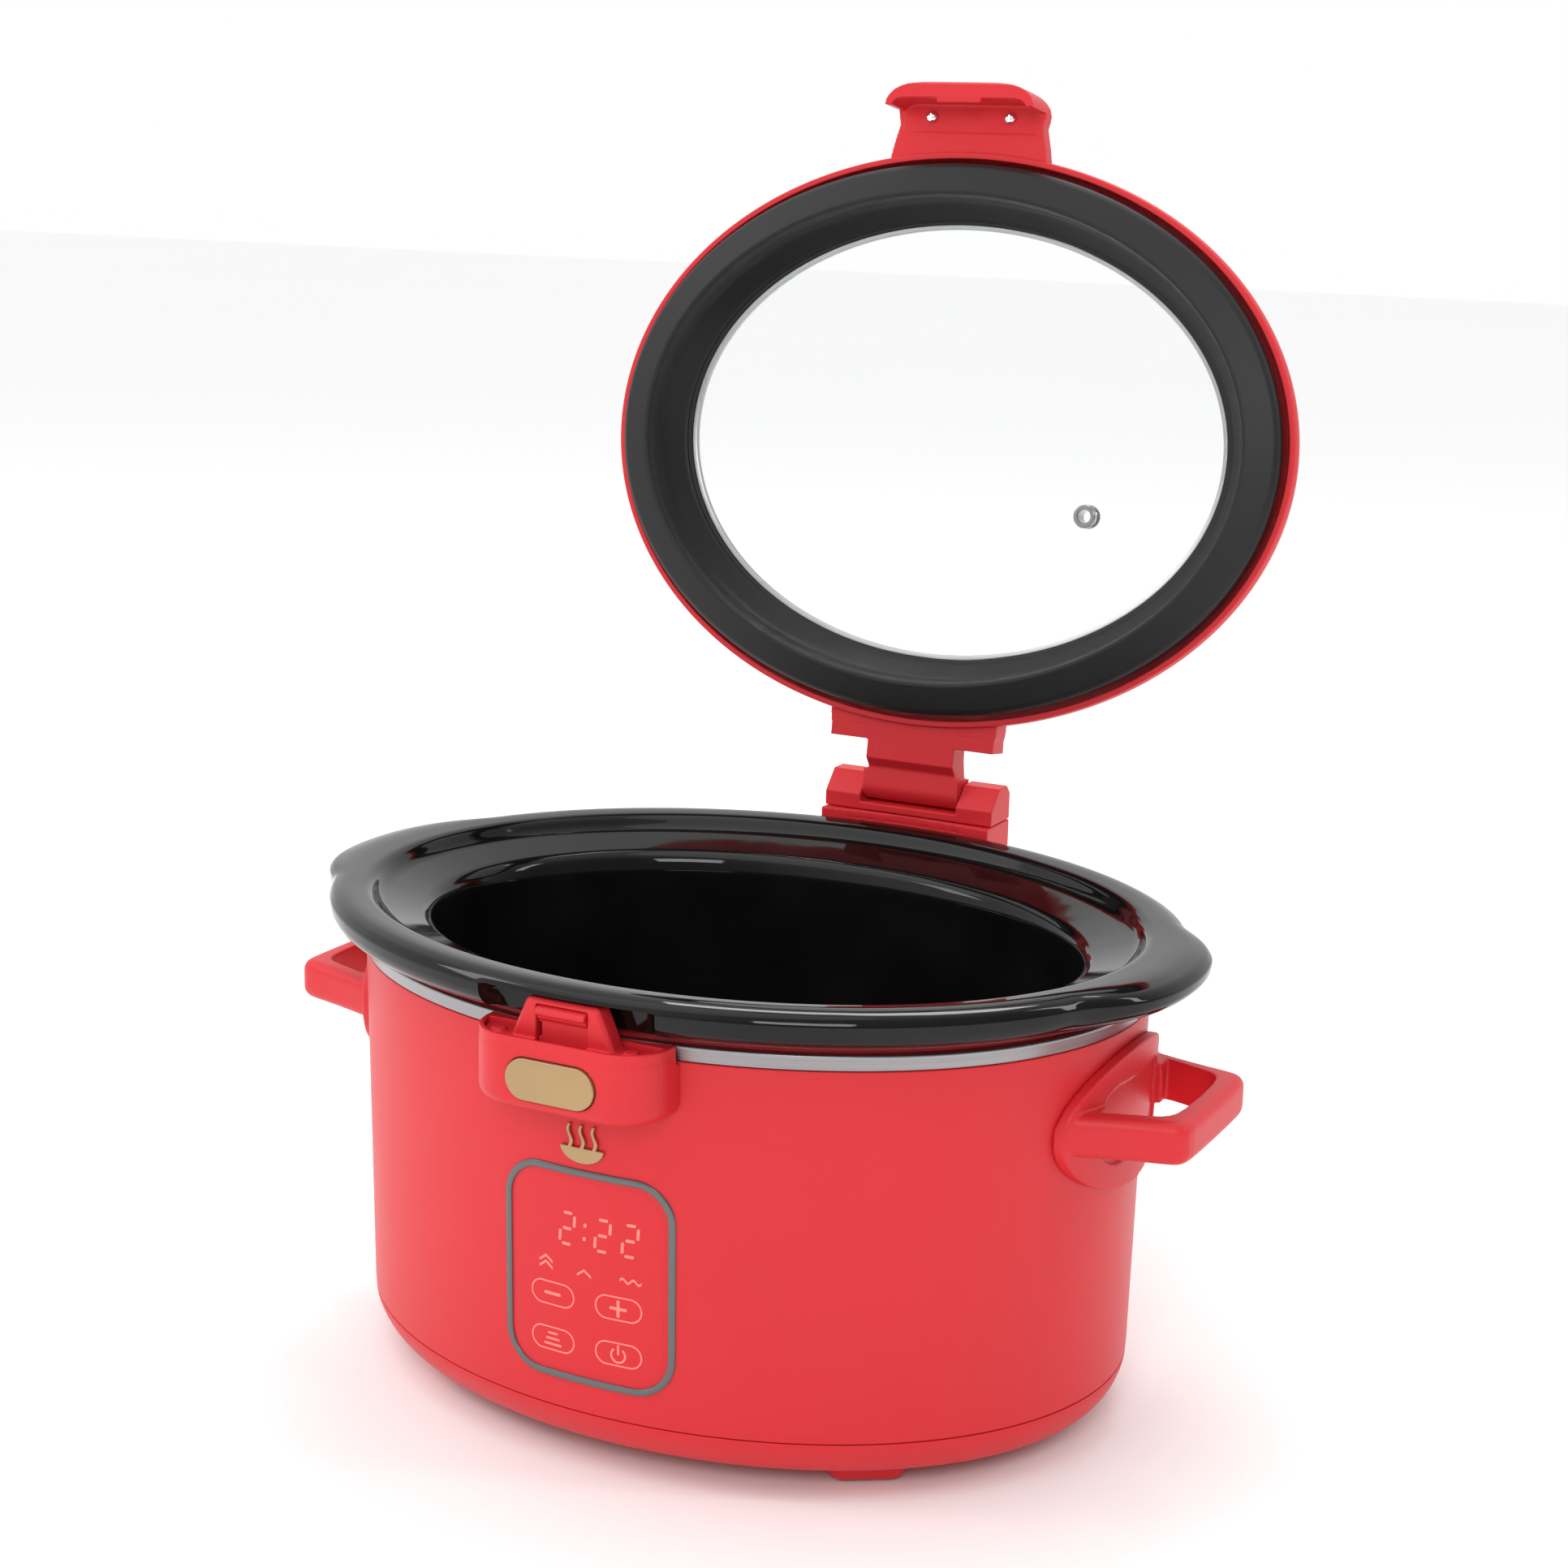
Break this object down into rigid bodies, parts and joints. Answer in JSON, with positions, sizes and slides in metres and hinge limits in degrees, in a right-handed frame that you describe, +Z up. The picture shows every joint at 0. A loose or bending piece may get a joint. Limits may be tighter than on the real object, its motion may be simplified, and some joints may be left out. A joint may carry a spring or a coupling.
{
  "type": "slow cooker",
  "caption": "Oval countertop slow cooker with a lift-out stoneware pot, a hinged glass lid held by a push-button latch, side handles and a touch control panel.",
  "frame": {"origin": "centre of the box round the cooker with its lid open, at the level of the feet", "axes": "+Z up, -Y towards the front with the control panel, +X to the right seen from the front"},
  "size_m": [0.4308, 0.3847, 0.5579],
  "materials": {
    "band_heater": "mica wrap",
    "base_pan": "satin red",
    "cord_inlet": "matt black",
    "crock": "gloss black glaze",
    "display_board": "solder mask",
    "emblem": "satin gold metallised",
    "foot_front_left": "satin red",
    "foot_front_right": "satin red",
    "foot_pad_front_left": "matt black",
    "foot_pad_front_right": "matt black",
    "foot_pad_rear_left": "matt black",
    "foot_pad_rear_right": "matt black",
    "foot_rear_left": "satin red",
    "foot_rear_right": "satin red",
    "handle_left": "satin red",
    "handle_right": "satin red",
    "handle_screw_left_front": "polished",
    "handle_screw_left_rear": "polished",
    "handle_screw_right_front": "polished",
    "handle_screw_right_rear": "polished",
    "heat_shield": "plain",
    "heating_well": "plain",
    "hinge_bracket": "satin red",
    "hinge_pin": "polished",
    "hinge_screw_left": "polished",
    "hinge_screw_right": "polished",
    "hinge_yoke": "satin red",
    "insulation_wrap": "glass wool",
    "latch_button": "satin gold metallised",
    "latch_housing": "satin red",
    "latch_pawl": "satin red",
    "latch_screw_left": "polished",
    "latch_screw_right": "polished",
    "latch_tower": "satin red",
    "lid_frame": "satin red",
    "lid_glass": "clear",
    "lid_screw_left": "polished",
    "lid_screw_right": "polished",
    "lid_seal": "matt black",
    "metal_rim_band": "brushed",
    "outer_housing": "satin red enamel",
    "panel_bezel": "gunmetal gloss",
    "panel_face": "satin red",
    "pawl_pin": "polished",
    "pawl_spring": "polished",
    "power_board": "solder mask",
    "thermostat": "plain",
    "vent_grommet": "polished",
    "yoke_screw_left": "polished",
    "yoke_screw_right": "polished"
  },
  "bodies": {
    "base": {"band_heater": "band_heater", "base_pan": "base_pan", "cord_inlet": "cord_inlet", "display_board": "display_board", "emblem": "emblem", "foot_front_left": "foot_front_left", "foot_front_right": "foot_front_right", "foot_pad_front_left": "foot_pad_front_left", "foot_pad_front_right": "foot_pad_front_right", "foot_pad_rear_left": "foot_pad_rear_left", "foot_pad_rear_right": "foot_pad_rear_right", "foot_rear_left": "foot_rear_left", "foot_rear_right": "foot_rear_right", "handle_left": "handle_left", "handle_right": "handle_right", "handle_screw_left_front": "handle_screw_left_front", "handle_screw_left_rear": "handle_screw_left_rear", "handle_screw_right_front": "handle_screw_right_front", "handle_screw_right_rear": "handle_screw_right_rear", "heat_shield": "heat_shield", "heating_well": "heating_well", "hinge_bracket": "hinge_bracket", "hinge_pin": "hinge_pin", "hinge_screw_left": "hinge_screw_left", "hinge_screw_right": "hinge_screw_right", "hinge_yoke": "hinge_yoke", "insulation_wrap": "insulation_wrap", "latch_housing": "latch_housing", "latch_screw_left": "latch_screw_left", "latch_screw_right": "latch_screw_right", "latch_tower": "latch_tower", "metal_rim_band": "metal_rim_band", "outer_housing": "outer_housing", "panel_bezel": "panel_bezel", "panel_face": "panel_face", "pawl_pin": "pawl_pin", "pawl_spring": "pawl_spring", "power_board": "power_board", "thermostat": "thermostat", "yoke_screw_left": "yoke_screw_left", "yoke_screw_right": "yoke_screw_right"},
    "lid": {"lid_frame": "lid_frame", "lid_glass": "lid_glass", "lid_screw_left": "lid_screw_left", "lid_screw_right": "lid_screw_right", "lid_seal": "lid_seal", "vent_grommet": "vent_grommet"},
    "crock": {"crock": "crock"},
    "latch_button": {"latch_button": "latch_button"},
    "latch_pawl": {"latch_pawl": "latch_pawl"}
  },
  "joints": [
    {"name": "lid_hinge", "type": "hinge", "parent": "base", "child": "lid", "pos_m": [0, 0.1387, 0.2256], "axis": [1, 0, 0], "range_deg": [0, 99]},
    {"name": "crock_lift", "type": "slide", "parent": "base", "child": "crock", "axis": [0, -0.0958, 0.9954], "range_m": [0, 0.3]},
    {"name": "latch_button_press", "type": "slide", "parent": "base", "child": "latch_button", "axis": [0, 1, 0], "range_m": [0, 0.0015], "stiffness_N_per_m": 500, "springref_m": -0.002},
    {"name": "latch_pawl_turn", "type": "hinge", "parent": "base", "child": "latch_pawl", "pos_m": [0, -0.1801, 0.168], "axis": [-1, 0, 0], "range_deg": [0, 4.3]}
  ],
  "couplings": [
    {"joint": "latch_pawl_turn", "follows": "latch_button_press", "rad_per_m": 50}
  ]
}
